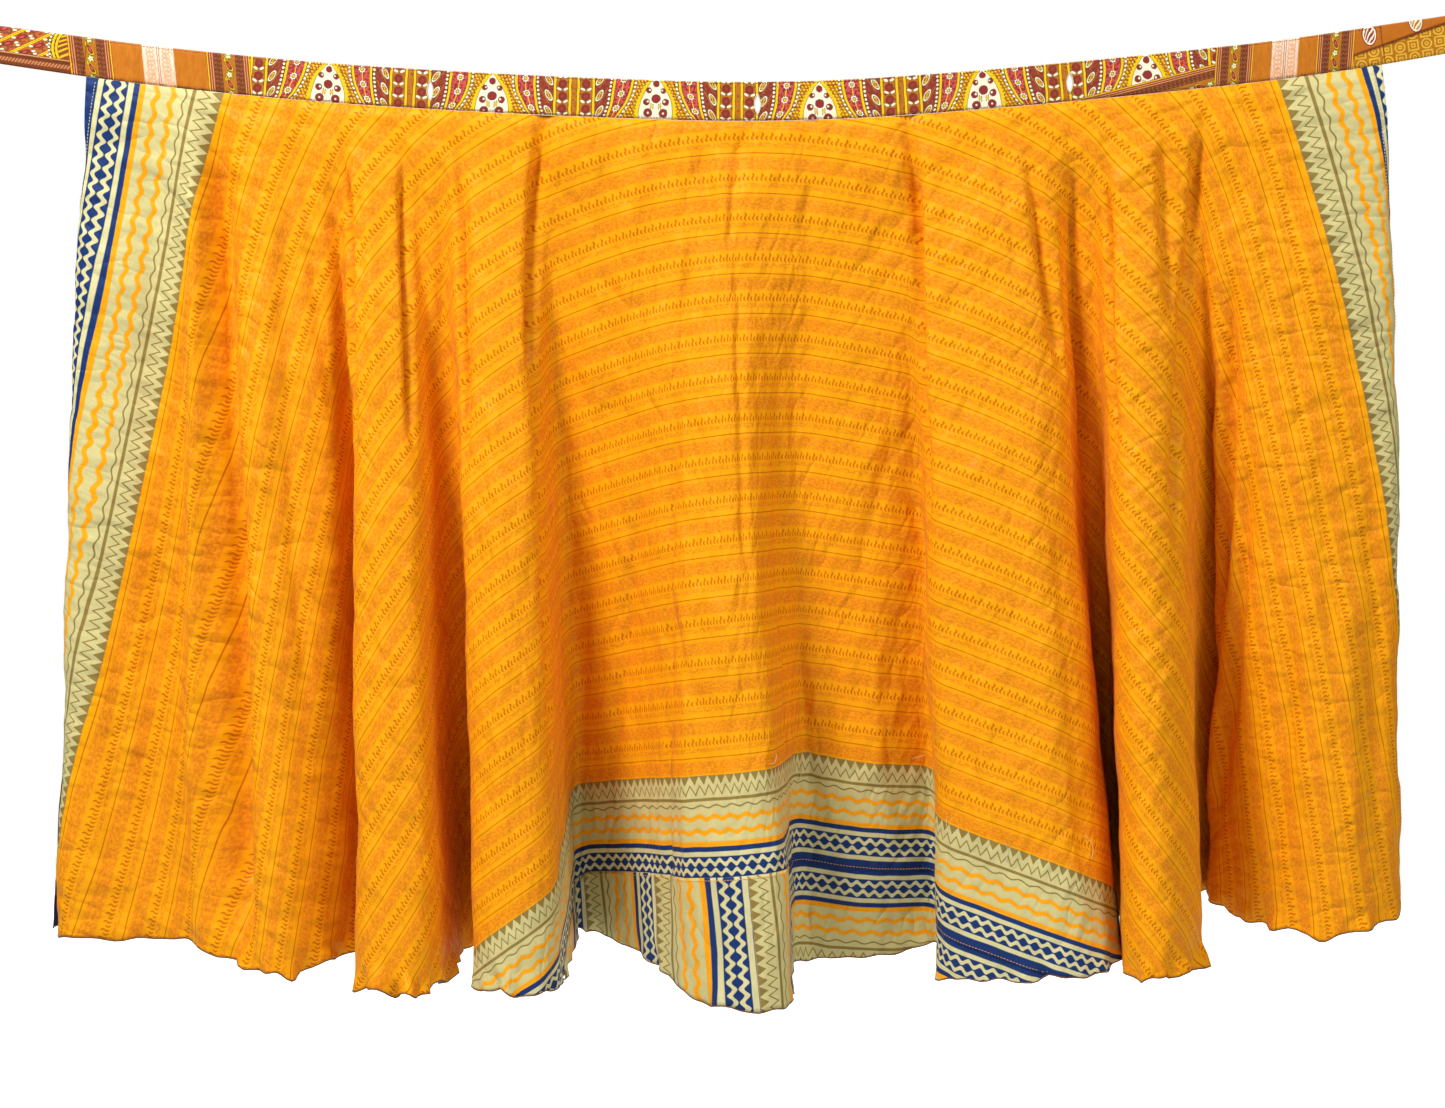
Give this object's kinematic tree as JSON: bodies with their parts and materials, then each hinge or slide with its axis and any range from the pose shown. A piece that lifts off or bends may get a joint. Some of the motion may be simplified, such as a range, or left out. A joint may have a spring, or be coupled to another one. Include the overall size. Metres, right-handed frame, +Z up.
{
  "type": "wrap skirt",
  "caption": "Half-circle wrap skirt of printed sari cloth in two layers, with a narrow waistband, tie slits and long ties, hung up by its ties.",
  "frame": {"origin": "middle of the straight line between the two held ends of the ties", "axes": "+X to the right as the skirt is seen, along the line between the ties, +Y to its back, +Z up; the viewer is on the -Y side"},
  "size_m": [2.2386, 0.2995, 1.0457],
  "materials": {
    "sari_print": "smooth light sari cloth with a soft sheen, amber ground with orange stripes and a khaki, navy and brown border",
    "sari_border_print": "strips of the same sari's border, zigzag, wave and diamond stripes on khaki",
    "under_print": "dark navy sari cloth with small spots, soft sheen",
    "band_print": "closely printed brown and maroon sari cloth with yellow and cream leaf and flower outlines"
  },
  "bodies": {
    "root": {"skirt_outer_panel": "sari_print", "hem_extension_left": "sari_border_print", "hem_extension_right": "sari_border_print", "skirt_under_layer": "under_print", "waistband": "band_print", "tie_left": "band_print", "tie_right": "band_print"}
  },
  "joints": []
}
